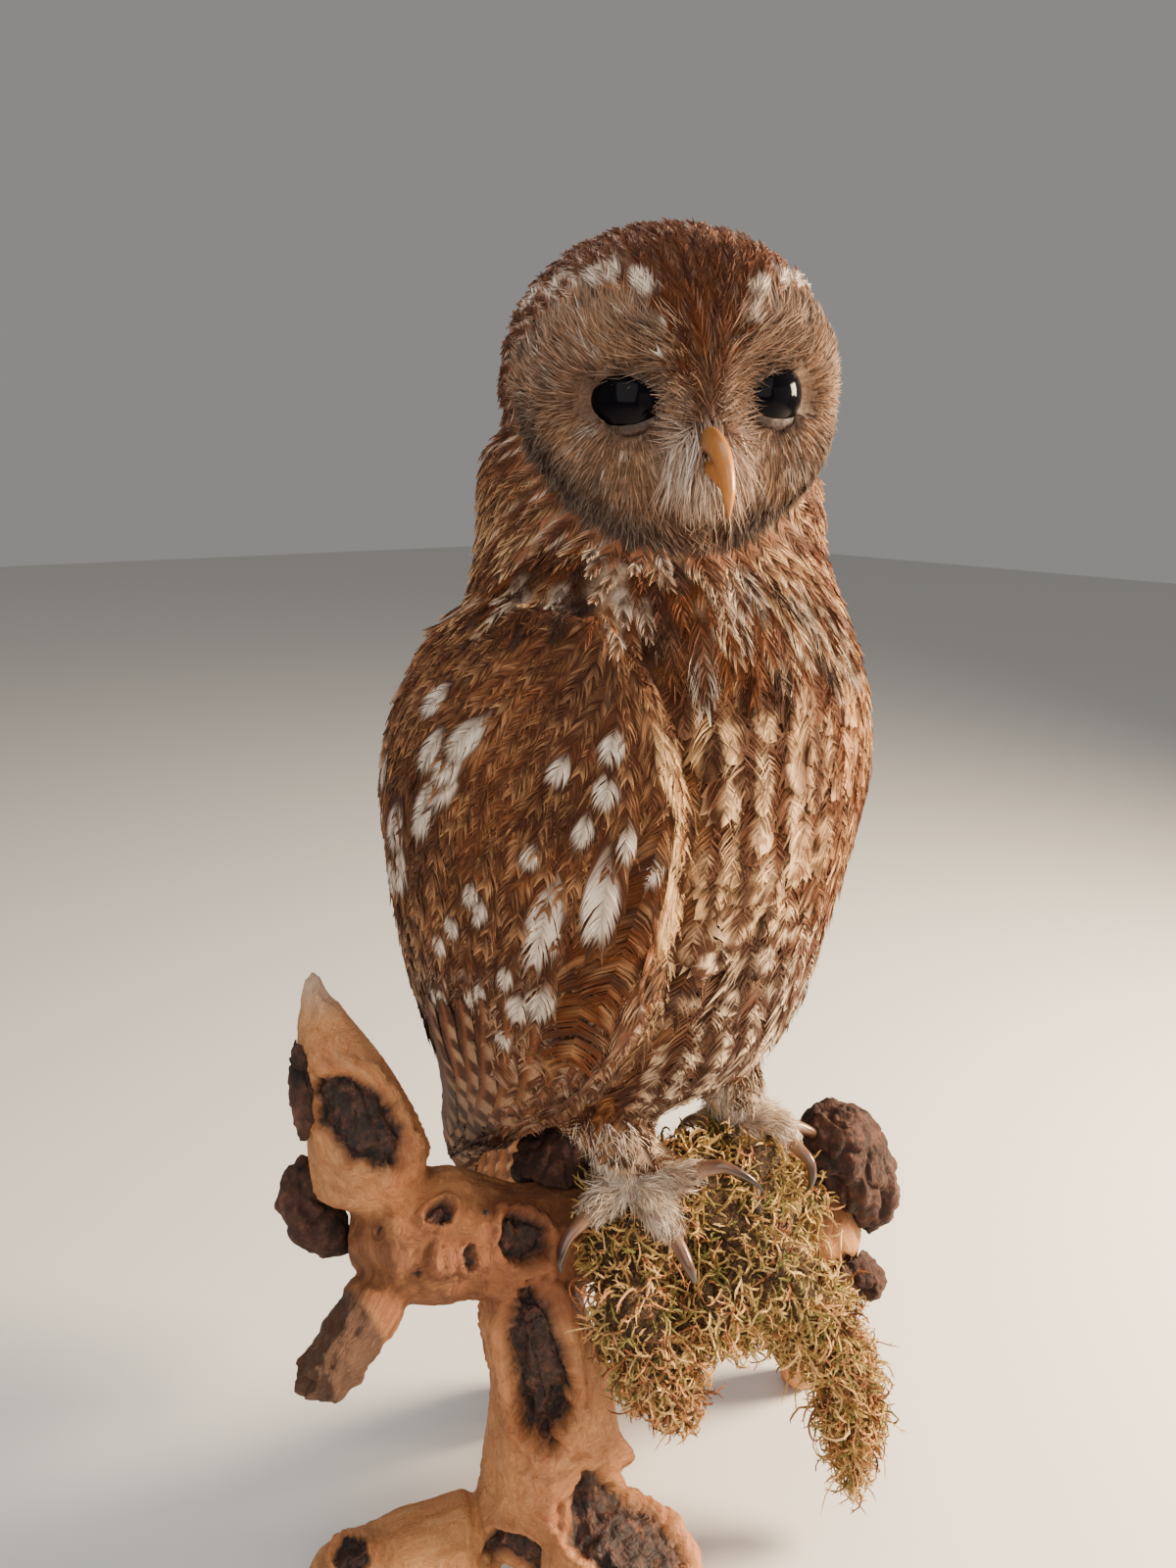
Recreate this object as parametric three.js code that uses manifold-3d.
// Mounted tawny owl on a sandblasted root, life size, in millimetres, +Z up.
// The owl faces -Y, its own left is +X, and it looks over its right shoulder. It is drawn with the
// plumb line through the head at x = y = 0 and the table at z = 0, then centred on its bounding box.
import * as THREE from "three";
import { mergeVertices } from "three/addons/utils/BufferGeometryUtils.js";
import Module from "manifold-3d";

const wasm = await Module();
wasm.setup();

// ---------------------------------------------------------------- driving sizes
const GAP = 0.45; // clear space between neighbouring solids
const SMOOTHING = 0.15; // how far a cut edge may move when slivers are cleaned away
const FULLNESS = 2.25; // how square the body's level outlines are: 2 is an ellipse
const TRUNK = { bottom: 155, top: 343, ruffTop: 400 };
const HEAD = { centre: [-3, 3, 406], halfWidth: 48, halfDepth: 45, halfHeight: 43.5, leanOfCrown: 3.5 };
const HEAD_TURN = { yaw: -32, roll: -3.5, pitch: 3 }; // degrees
const FACE = { depth: 36.5, bowl: 5, bowlWidth: 12, ridge: 9, ridgeWidth: 9, edgeSoftness: 3.5 };
const COLLAR_CUT = { at: [-3, 3, 368], slope: -0.2 }; // where the head meets the neck
const EYE = { radius: 10.4, side: 19.5, ahead: 25, drop: 4 };
const WING = { top: 346, tip: 106, thick: 13, thinAtTip: 5, stand: 5, halfMidGap: 0.25 };
const LEFT_WING_SET_BACK = 17; // degrees: its front edge lies deeper in the flank
const TAIL = {
  top: 176,
  tip: 88,
  topHalfWidth: 16,
  halfWidth: 22,
  topThick: 9,
  tipThick: 4.5,
  topBack: 78,
  tipBack: 88,
};
const CLAW = { length: 19, radius: 2.6, tipRadius: 0.5 };
const ANKLE_ABOVE_SOLE = 4; // where a leg is parted from its foot

// ---------------------------------------------------------------- small maths
const rad = THREE.MathUtils.degToRad;
const mix = THREE.MathUtils.lerp;
const clamp01 = (t) => THREE.MathUtils.clamp(t, 0, 1);
const ease = (a, b, t) => THREE.MathUtils.smoothstep(clamp01((t - a) / (b - a)), 0, 1);
const bump = (distance, width) => Math.exp(-((distance / width) ** 2));
const vec = (x, y, z) => new THREE.Vector3(x, y, z);

// A smooth reading of rows [key, value, value, ...] at any key, keys rising.
function reader(rows) {
  const slope = (row, column) => {
    const before = rows[Math.max(row - 1, 0)];
    const after = rows[Math.min(row + 1, rows.length - 1)];
    return (after[column] - before[column]) / (after[0] - before[0]);
  };
  return (key) => {
    const at = THREE.MathUtils.clamp(key, rows[0][0], rows[rows.length - 1][0]);
    let row = 0;
    while (row < rows.length - 2 && at > rows[row + 1][0]) row++;
    const span = rows[row + 1][0] - rows[row][0];
    const t = (at - rows[row][0]) / span;
    const start = 2 * t ** 3 - 3 * t ** 2 + 1;
    const startSlope = (t ** 3 - 2 * t ** 2 + t) * span;
    const endSlope = (t ** 3 - t ** 2) * span;
    return rows[row].slice(1).map((value, i) => {
      const flat = start * value + (1 - start) * rows[row + 1][i + 1];
      return flat + startSlope * slope(row, i + 1) + endSlope * slope(row + 1, i + 1);
    });
  };
}

// ---------------------------------------------------------------- making and cutting solids
function solidOf(geometry) {
  const bare = geometry.clone();
  bare.deleteAttribute("normal");
  bare.deleteAttribute("uv");
  const merged = mergeVertices(bare, 1e-4);
  const vertProperties = new Float32Array(merged.getAttribute("position").array);
  const triVerts = new Uint32Array(merged.index.array);
  const made = new wasm.Manifold(new wasm.Mesh({ numProp: 3, vertProperties, triVerts }));
  if (made.volume() > 0) return made;
  for (let i = 0; i < triVerts.length; i += 3) {
    [triVerts[i + 1], triVerts[i + 2]] = [triVerts[i + 2], triVerts[i + 1]];
  }
  return new wasm.Manifold(new wasm.Mesh({ numProp: 3, vertProperties, triVerts }));
}

function geometryOf(solid) {
  const mesh = solid.getMesh();
  const points = new Float32Array(mesh.numVert * 3);
  for (let i = 0; i < mesh.numVert; i++) {
    const start = i * mesh.numProp;
    points.set(mesh.vertProperties.subarray(start, start + 3), i * 3);
  }
  const geometry = new THREE.BufferGeometry();
  geometry.setAttribute("position", new THREE.BufferAttribute(points, 3));
  geometry.setIndex(new THREE.BufferAttribute(new Uint32Array(mesh.triVerts), 1));
  geometry.computeVertexNormals();
  return geometry;
}

const largest = (solid) => solid.decompose().sort((a, b) => b.volume() - a.volume())[0];
const joined = (solids) => solids.reduce((a, b) => a.add(b));
const without = (solid, ...others) => largest(others.reduce((a, b) => a.subtract(b), solid));

// A closed tube whose wall is put by place(angle, along), with along 0 at one end and 1 at the other.
function tube(sides, steps, place) {
  const geometry = new THREE.CylinderGeometry(1, 1, 1, sides, steps);
  const position = geometry.getAttribute("position");
  const angleOf = (side) => (side / sides) * 2 * Math.PI;
  const middle = (along) => {
    const sum = vec(0, 0, 0);
    for (let side = 0; side < sides; side++) sum.add(place(angleOf(side), along));
    return sum.divideScalar(sides);
  };
  for (let i = 0; i < position.count; i++) {
    const [x, y, z] = [position.getX(i), position.getY(i), position.getZ(i)];
    const along = Math.round((0.5 - y) * steps) / steps;
    const side = (Math.round((Math.atan2(x, z) / (2 * Math.PI)) * sides) + sides) % sides;
    const onWall = Math.hypot(x, z) > 0.5;
    const point = onWall ? place(angleOf(side), along) : middle(along);
    position.setXYZ(i, point.x, point.y, point.z);
  }
  return solidOf(geometry);
}

// A limb round a smooth line through stations [x, y, z, radius]. grow swells it by a clearance,
// rough knots its skin, flat presses it and blunt is how wide its ends stay.
function limb(stations, { sides, steps, flat = 1, grow = 0, rough = 0, blunt = 0.5 }) {
  const line = new THREE.CatmullRomCurve3(stations.map(([x, y, z]) => vec(x, y, z)), false, "centripetal");
  const radiusAt = reader(stations.map((station, i) => [i / (stations.length - 1), station[3]]));
  const reach = line.getPoint(1).sub(line.getPoint(0)).normalize();
  const isUpright = Math.abs(reach.z) > 0.75;
  const reference = (isUpright ? vec(0.1, 1, 0.05) : vec(0.12, -0.2, 1)).normalize();
  return tube(sides, steps, (angle, along) => {
    const at = line.getPoint(along);
    const ahead = line.getTangent(along);
    const side = vec(0, 0, 0).crossVectors(reference, ahead).normalize();
    const over = vec(0, 0, 0).crossVectors(ahead, side);
    const isEnd = along === 0 || along === 1;
    const knots = 1 + rough * Math.sin(3 * angle + 9 * along) * Math.cos(2 * angle - 14 * along + 1);
    const radius = radiusAt(along)[0] * (isEnd ? blunt : 1) * knots + grow;
    if (isEnd) at.addScaledVector(ahead, along === 0 ? -grow : grow);
    at.addScaledVector(side, Math.sin(angle) * radius);
    return at.addScaledVector(over, Math.cos(angle) * radius * flat);
  });
}

function ball(centre, radius) {
  const geometry = new THREE.SphereGeometry(radius, 12, 9);
  geometry.translate(centre.x, centre.y, centre.z);
  return solidOf(geometry);
}

// ---------------------------------------------------------------- the body's outlines
// Rows of level outlines: height, side shift, back shift, half width, half depth.
// The mantle is the outside of the folded wings.
const mantleAt = reader([
  [86, -1, 91, 15, 9],
  [104, -1, 88, 18, 12],
  [130, -1, 74, 26, 22],
  [163, 0, 47, 43, 42],
  [194, 0, 31, 60, 57.5],
  [226, 0, 25, 73, 66],
  [256, 0, 22, 80, 70],
  [287, 0, 19, 84, 72],
  [316, 0, 17, 79, 68],
  [331, 0, 14, 72, 63],
  [346, 0, 9, 61, 55],
]);
// The trunk carries the breast and belly, and its top is the ruff behind the face.
const trunkAt = reader([
  [155, 0, 46, 6, 6],
  [160, 0, 41, 22, 22],
  [169, 0, 33, 38, 36],
  [182, 1.5, 25, 46, 46],
  [200, 1.5, 18, 55, 53],
  [228, 1, 17, 66, 60],
  [258, 0, 16, 73, 65],
  [288, 0, 14, 76, 67],
  [316, 0, 12, 72, 64],
  [332, 0, 10, 66, 58],
  [346, 0, 9, 61, 51],
  [357, 1, 14, 59, 46],
  [368, 4, 17, 55, 40],
  [380, 3, 18, 55, 36],
  [392, 2, 17, 48, 32],
  [400, 1, 16, 38, 26],
]);

// The point on an outline at an angle from the breast toward the owl's right.
function outline(at, z, angle, grow, twist = 0) {
  const [shift, back, halfWidth, halfDepth] = at(z);
  const [s, c] = [Math.sin(angle), Math.cos(angle)];
  const reach = (Math.abs(s) ** FULLNESS + Math.abs(c) ** FULLNESS) ** (-1 / FULLNESS);
  const out = vec(-s * reach * (halfWidth + grow), -c * reach * (halfDepth + grow), 0);
  return out.applyAxisAngle(vec(0, 0, 1), twist).add(vec(shift, back, z));
}

function trunkForm(grow = 0) {
  return tube(28, 20, (angle, along) => {
    const z = mix(TRUNK.ruffTop, TRUNK.bottom - grow, along);
    const twist = rad(HEAD_TURN.yaw) * ease(TRUNK.top, 378, z); // the ruff turns with the head
    return outline(trunkAt, z, -angle, grow, twist);
  });
}

// ---------------------------------------------------------------- head, eyes and bill
const headTurn = new THREE.Euler(rad(HEAD_TURN.pitch), rad(HEAD_TURN.roll), rad(HEAD_TURN.yaw), "ZYX");
const headFrame = new THREE.Matrix4().makeRotationFromEuler(headTurn).setPosition(...HEAD.centre);
const onHead = (x, y, z) => vec(x, y, z).applyMatrix4(headFrame);

// How far the flattened face stands ahead of the head's middle, at x across and z up: two bowls
// round the eyes, the bristle ridge between them, the brows and a chin that falls away.
function faceDepth(x, z) {
  const bowl = FACE.bowl * bump(Math.hypot(Math.abs(x) - EYE.side, z + EYE.drop), FACE.bowlWidth);
  const ridge = FACE.ridge * bump(x, FACE.ridgeWidth) * ease(34, 12, z) * ease(-40, -22, z);
  const brow = 2.5 * bump(Math.hypot(Math.abs(x) - 14, z - 16), 11);
  const chin = 0.012 * Math.max(0, -z - 12) ** 2;
  return FACE.depth - bowl + ridge + brow - chin;
}

function headForm(grow = 0) {
  const geometry = new THREE.SphereGeometry(1, 28, 18);
  geometry.rotateX(Math.PI / 2);
  const position = geometry.getAttribute("position");
  for (let i = 0; i < position.count; i++) {
    const [dx, dy, dz] = [position.getX(i), position.getY(i), position.getZ(i)];
    const fullness = mix(2.2, 2.8, ease(0.1, -0.8, dz)); // squarer at the jaw than at the crown
    const sum = Math.abs(dx) ** fullness + Math.abs(dy) ** fullness + Math.abs(dz) ** fullness;
    const reach = sum ** (-1 / fullness);
    const crown = Math.max(0, dz) ** 2;
    const nape = 1 + 0.12 * ease(-0.25, 0.55, dy);
    const width = HEAD.halfWidth * (1 - 0.1 * crown) * nape + grow;
    const x = dx * reach * width - HEAD.leanOfCrown * crown;
    const z = dz * reach * (HEAD.halfHeight + grow);
    const round = dy * reach * (HEAD.halfDepth + grow) / FACE.edgeSoftness;
    const face = (faceDepth(x, z) + grow) / FACE.edgeSoftness;
    const y = FACE.edgeSoftness * Math.log(Math.exp(round) + Math.exp(-face));
    const point = onHead(x, y, z);
    position.setXYZ(i, point.x, point.y, point.z);
  }
  return solidOf(geometry);
}

const eyeForm = (side, grow = 0) => ball(onHead(side * EYE.side, -EYE.ahead, -EYE.drop), EYE.radius + grow);

// The hooked upper half and the short lower half, each a bent cone out of the bristles.
const BILL = {
  bill_upper: [[0, -34, -14, 4.3], [0, -44, -15, 4.5], [0, -52, -18.5, 3.9], [0, -56.6, -25.5, 2.7],
    [0, -56.6, -32.5, 0.7]],
  bill_lower: [[0, -36, -21, 3.0], [0, -45, -22, 2.7], [0, -51.5, -25.5, 1.3]],
};
function billForm(name, grow = 0) {
  const stations = BILL[name].map(([x, y, z, radius]) => [...onHead(x, y, z).toArray(), radius]);
  return limb(stations, { sides: 8, steps: stations.length + 2, flat: 0.8, grow });
}

// ---------------------------------------------------------------- wings and tail
// A folded wing runs from a front edge to a rear edge, in degrees from the breast round the side,
// read from 0 at the shoulder to 1 at the tip.
const wingEdges = reader([
  [0, 56, 118],
  [0.08, 36, 142],
  [0.2, 29, 154],
  [0.36, 28, 162],
  [0.5, 31, 166],
  [0.6, 40, 168],
  [0.75, 57, 171],
  [0.9, 86, 172],
  [1, 105, 170],
]);
// side is 1 for the owl's right wing and -1 for its left.
function wingForm(side, grow = 0) {
  const setBack = side > 0 ? 0 : LEFT_WING_SET_BACK;
  const stand = side > 0 ? WING.stand : WING.stand * 0.3;
  return tube(18, 15, (angle, along) => {
    const z = mix(WING.top + grow, WING.tip - grow, along);
    const [edge, rear] = wingEdges(along);
    const front = edge + setBack * ease(1, 0.7, along);
    const across = (1 - Math.cos(angle)) / 2;
    const turn = rad(mix(front - grow, rear + grow, across)) * side;
    const roundness = Math.abs(Math.sin(angle)) ** 0.4;
    const thick = mix(WING.thinAtTip, WING.thick, ease(1, 0.45, along)) * ease(-0.08, 0.06, along) ** 0.5;
    const proud = (1 - ease(0.3, 0.8, across)) * ease(1.1, 0.85, along) * stand;
    const outer = proud - (1 - roundness) * thick * 0.4 + grow;
    const inner = proud * 0.5 - (roundness + 0.4) * thick - grow;
    return outline(mantleAt, z, turn, Math.sin(angle) > 0 ? outer : inner);
  });
}

function tailForm(grow = 0) {
  return tube(16, 9, (angle, along) => {
    const width = mix(TAIL.topHalfWidth, TAIL.halfWidth, ease(0, 0.7, along));
    const rounding = along === 1 ? 0.86 : 1;
    const x = -1 - Math.sin(angle) * (width * rounding + grow);
    const thick = mix(TAIL.topThick, TAIL.tipThick, along) / 2 + grow;
    const arch = 0.006 * x * x;
    const y = mix(TAIL.topBack, TAIL.tipBack, along) - arch + Math.cos(angle) * thick;
    const tip = along === 1 ? 3 * bump(x, 18) : 0;
    return vec(x, y, mix(TAIL.top + grow, TAIL.tip - grow, along) - tip);
  });
}

// ---------------------------------------------------------------- legs, toes and claws
// shank and line are stations [x, y, z, radius]; dip is where the claw's tip lies from the toe's end.
const LEGS = {
  right: {
    shank: [[-27, 10, 205, 21], [-25, 5, 186, 20], [-21, 1, 172, 13.5], [-18.5, -2, 160, 10.5],
      [-18, -5, 153, 9.5]],
    toes: {
      middle: { line: [[-18, -7, 152, 7], [-20, -18, 151, 6.6], [-22, -29.5, 145, 5.6]], dip: [1, -5, -10] },
      inner: { line: [[-16, -8, 155, 6.4], [-11, -18, 158, 5.6], [-6, -26, 162, 4.6]], dip: [10, -13, -7] },
      outer: { line: [[-20, -4, 151, 6.6], [-30, -4, 149, 5.8], [-38, -4, 146, 4.8]], dip: [-8, -2, -12] },
      hind: { line: [[-17, -1, 152, 6.2], [-14, 9, 149, 5.4], [-12, 17, 145, 4.6]], dip: [2, 7, -11] },
    },
  },
  left: {
    shank: [[29, 10, 205, 21], [30, 5, 186, 19], [33, 0, 172, 13], [35, -5, 162, 10.5], [35, -8, 156, 9.5]],
    toes: {
      middle: { line: [[35, -10, 157, 7], [37, -20, 158, 6.4], [37, -29, 155, 5.4]], dip: [-2, -5, -12] },
      inner: { line: [[33, -10, 154, 6.4], [27, -18, 151, 5.2], [23, -23, 147, 4.2]], dip: [-3, -6, -9] },
      outer: { line: [[37, -8, 155, 6.4], [46, -13, 153, 5.6], [53, -17, 150, 4.6]], dip: [7, -5, -10] },
      hind: { line: [[35, -4, 154, 6.2], [35, 6, 150, 5.2], [35, 13, 146, 4.4]], dip: [0, 7, -11] },
    },
  },
};
const shankForm = (leg, grow = 0) => limb(leg.shank, { sides: 10, steps: 6, grow });
const toeForm = (toe, grow = 0) => limb(toe.line, { sides: 7, steps: 4, grow, blunt: 0.62 });
function clawForm({ line, dip }, grow = 0) {
  const knuckle = vec(...line[1]);
  const toeEnd = vec(...line[2]);
  const ahead = toeEnd.clone().sub(knuckle).normalize();
  const start = toeEnd.clone().addScaledVector(ahead, -2.5);
  const mid = toeEnd.clone().addScaledVector(ahead, CLAW.length * 0.42).add(vec(0, 0, -1));
  const tip = toeEnd.clone().addScaledVector(ahead, CLAW.length * 0.2).add(vec(...dip));
  const stations = [
    [...start.toArray(), CLAW.radius],
    [...mid.toArray(), CLAW.radius * 0.85],
    [...tip.toArray(), CLAW.tipRadius],
  ];
  return limb(stations, { sides: 6, steps: 5, grow });
}

// ---------------------------------------------------------------- the root it stands on
// Each limb of the root, as stations [x, y, z, radius], in the order in which they are fitted.
const ROOT = {
  beam: [[-94, 50, 135, 17], [-80, 41, 136, 23], [-61, 31, 131, 22], [-37, 22, 123, 17.5], [0, 6, 122, 18],
    [34, -8, 121, 18], [62, -20, 127, 18]],
  post: [[-50, 18, 122, 16], [-46, 13, 104, 18], [-43, 9, 84, 20], [-43, 5, 62, 24], [-47, 3, 38, 26],
    [-52, 1, 12, 22]],
  prong: [[-82, 44, 146, 22], [-85, 52, 166, 20], [-87, 60, 184, 15.5], [-89, 67, 200, 10.5],
    [-91, 74, 219, 3]],
  stub: [[-90, 34, 127, 11], [-101, 31, 119, 10.5], [-113, 28, 112, 10], [-124, 27, 107, 8.5]],
  foot_left: [[-66, 6, 24, 20], [-86, 18, 22, 19], [-106, 28, 18, 18], [-124, 36, 13, 15]],
  foot_front: [[-56, -4, 26, 22], [-45, -22, 25, 25], [-37, -37, 21, 23], [-30, -49, 13, 17]],
  leg_back: [[-26, 20, 122, 14], [-14, 36, 88, 12], [-2, 54, 46, 12], [8, 68, -4, 15]],
  leg_right: [[58, -20, 122, 16], [72, -22, 96, 14], [84, -10, 56, 11], [96, 4, -4, 13]],
  ridge: [[-27, 30, 130, 14], [-19, 33, 142, 15], [-9, 34, 146, 13], [-1, 34, 141, 9]],
  knob: [[64, -26, 98, 11], [73, -36, 88, 9], [80, -43, 81, 7]],
  spur: [[-38, -2, 56, 16], [-32, -8, 54, 11], [-26, -13, 51, 5], [-22, -16, 49, 2]],
  bark: [[64, -14, 146, 13], [73, -24, 136, 17], [79, -32, 118, 13], [78, -36, 104, 7]],
  strip: [[-99, 69, 203, 2.5], [-101, 63, 194, 5], [-102, 58, 182, 6], [-101, 56, 171, 4.5]],
  bark_left: [[-99, 66, 160, 4], [-102, 65, 149, 8], [-99, 60, 137, 9], [-93, 53, 129, 6]],
};
const BARKY = ["stub", "ridge", "knob", "bark", "strip", "bark_left"];
const onTable = (solid) => solid.trimByPlane([0, 0, 1], 0);
const rootForm = (name, grow = 0) => onTable(limb(ROOT[name], { sides: 10, steps: 7, rough: 0.05, grow }));

// The sheet moss tied over the beam: a mound under the feet, skirts round it and a tail that hangs down.
const MOSS = {
  mound: [[-36, 2, 126, 16], [-18, 0, 132, 22], [6, -4, 135, 24], [22, -12, 136, 24.5], [36, -17, 131, 23],
    [52, -29, 121, 17]],
  skirt_left: [[-32, -8, 126, 15], [-29, -18, 112, 17], [-24, -26, 96, 17], [-18, -30, 82, 12],
    [-16, -33, 70, 6]],
  skirt_middle: [[-10, -24, 122, 16], [-5, -32, 112, 15], [0, -37, 101, 10], [3, -40, 94, 5]],
  skirt_right: [[22, -34, 120, 16], [24, -40, 102, 15], [30, -44, 88, 12], [38, -46, 76, 7]],
  tail: [[0, -26, 126, 17], [20, -38, 116, 18], [37, -47, 96, 15], [46, -55, 64, 12.5], [48, -58, 22, 7.5]],
};
const mossForm = (name, grow = 0) => limb(MOSS[name], { sides: 9, steps: 6, rough: 0.04, grow });

// ---------------------------------------------------------------- finishes
const FINISHES = {
  head: { color: 0x84583a, roughness: 0.9 },
  breast: { color: 0xb08a63, roughness: 0.9 },
  wing: { color: 0x6f4026, roughness: 0.8 },
  foot: { color: 0xc3aa90, roughness: 0.9 },
  glass_eye: { color: 0x0b0a10, roughness: 0.05 },
  horn: { color: 0xd08a3a, roughness: 0.4 },
  claw: { color: 0x2a1c17, roughness: 0.3 },
  wood: { color: 0xc78252, roughness: 0.7 },
  bark: { color: 0x35211a, roughness: 0.95 },
  moss: { color: 0x9a7f3a, roughness: 1 },
};
const owl = new THREE.Group();
function add(name, finish, solid) {
  const material = new THREE.MeshStandardMaterial({ ...FINISHES[finish], metalness: 0 });
  const mesh = new THREE.Mesh(geometryOf(solid.simplify(SMOOTHING)), material);
  mesh.name = name;
  owl.add(mesh);
}

// ---------------------------------------------------------------- the head, neck and trunk
// They are one form, parted by two thin cuts.
const body = joined([headForm(), trunkForm()]);
const bodyGrown = joined([headForm(GAP), trunkForm(GAP)]);
const collarNormal = vec(0, COLLAR_CUT.slope, 1).normalize();
const collarAt = collarNormal.dot(vec(...COLLAR_CUT.at));
const aboveCollar = body.trimByPlane(collarNormal.toArray(), collarAt + GAP / 2);
const belowCollar = body.trimByPlane(collarNormal.clone().negate().toArray(), -collarAt + GAP / 2);
const sockets = [eyeForm(1, GAP), eyeForm(-1, GAP), ...Object.keys(BILL).map((name) => billForm(name, GAP))];
add("head", "head", without(aboveCollar, ...sockets));
add("neck", "head", largest(belowCollar.trimByPlane([0, 0, 1], TRUNK.top + GAP / 2)));
add("trunk", "breast", largest(belowCollar.trimByPlane([0, 0, -1], -TRUNK.top + GAP / 2)));
add("eye_left", "glass_eye", eyeForm(1));
add("eye_right", "glass_eye", eyeForm(-1));
add("bill_upper", "horn", billForm("bill_upper"));
add("bill_lower", "horn", without(billForm("bill_lower"), billForm("bill_upper", GAP)));

// ---------------------------------------------------------------- the wings and tail
const wingsGrown = [wingForm(1, GAP), wingForm(-1, GAP)];
add("wing_right", "wing", without(wingForm(1).trimByPlane([-1, 0, 0], WING.halfMidGap), bodyGrown));
add("wing_left", "wing", without(wingForm(-1).trimByPlane([1, 0, 0], WING.halfMidGap), bodyGrown));
add("tail", "wing", without(tailForm(), ...wingsGrown, bodyGrown));

// ---------------------------------------------------------------- the legs, feet and claws
for (const [sideName, leg] of Object.entries(LEGS)) {
  const toes = Object.values(leg.toes);
  const whole = joined([shankForm(leg), ...toes.map((toe) => toeForm(toe))]);
  const ankle = leg.shank[leg.shank.length - 1][2] + ANKLE_ABOVE_SOLE;
  const above = whole.trimByPlane([0, 0, 1], ankle + GAP / 2);
  const below = whole.trimByPlane([0, 0, -1], -ankle + GAP / 2);
  add(`leg_${sideName}`, "foot", without(above, bodyGrown, ...wingsGrown));
  add(`foot_${sideName}`, "foot", without(below, bodyGrown));
  for (const [toeName, toe] of Object.entries(leg.toes)) {
    const clear = toes.map((other) => toeForm(other, GAP));
    add(`claw_${sideName}_${toeName}`, "claw", without(clawForm(toe), ...clear, bodyGrown));
  }
}
const feetGrown = Object.values(LEGS).flatMap((leg) => [
  shankForm(leg, GAP),
  ...Object.values(leg.toes).flatMap((toe) => [toeForm(toe, GAP), clawForm(toe, GAP)]),
]);

// ---------------------------------------------------------------- the root and its moss
const rootGrown = [];
for (const name of Object.keys(ROOT)) {
  const clear = [...rootGrown, ...feetGrown, bodyGrown, tailForm(GAP), ...wingsGrown];
  const solid = without(rootForm(name), ...clear);
  add(`root_${name}`, BARKY.includes(name) ? "bark" : "wood", solid);
  rootGrown.push(rootForm(name, GAP));
}
const mossGrown = [];
for (const name of Object.keys(MOSS)) {
  const solid = without(mossForm(name), ...mossGrown, ...rootGrown, ...feetGrown, bodyGrown, ...wingsGrown);
  add(`moss_${name}`, "moss", solid);
  mossGrown.push(mossForm(name, GAP));
}

const box = new THREE.Box3().setFromObject(owl);
const centre = box.getCenter(vec(0, 0, 0));
owl.position.set(-centre.x, -centre.y, -box.min.z);

export default owl;
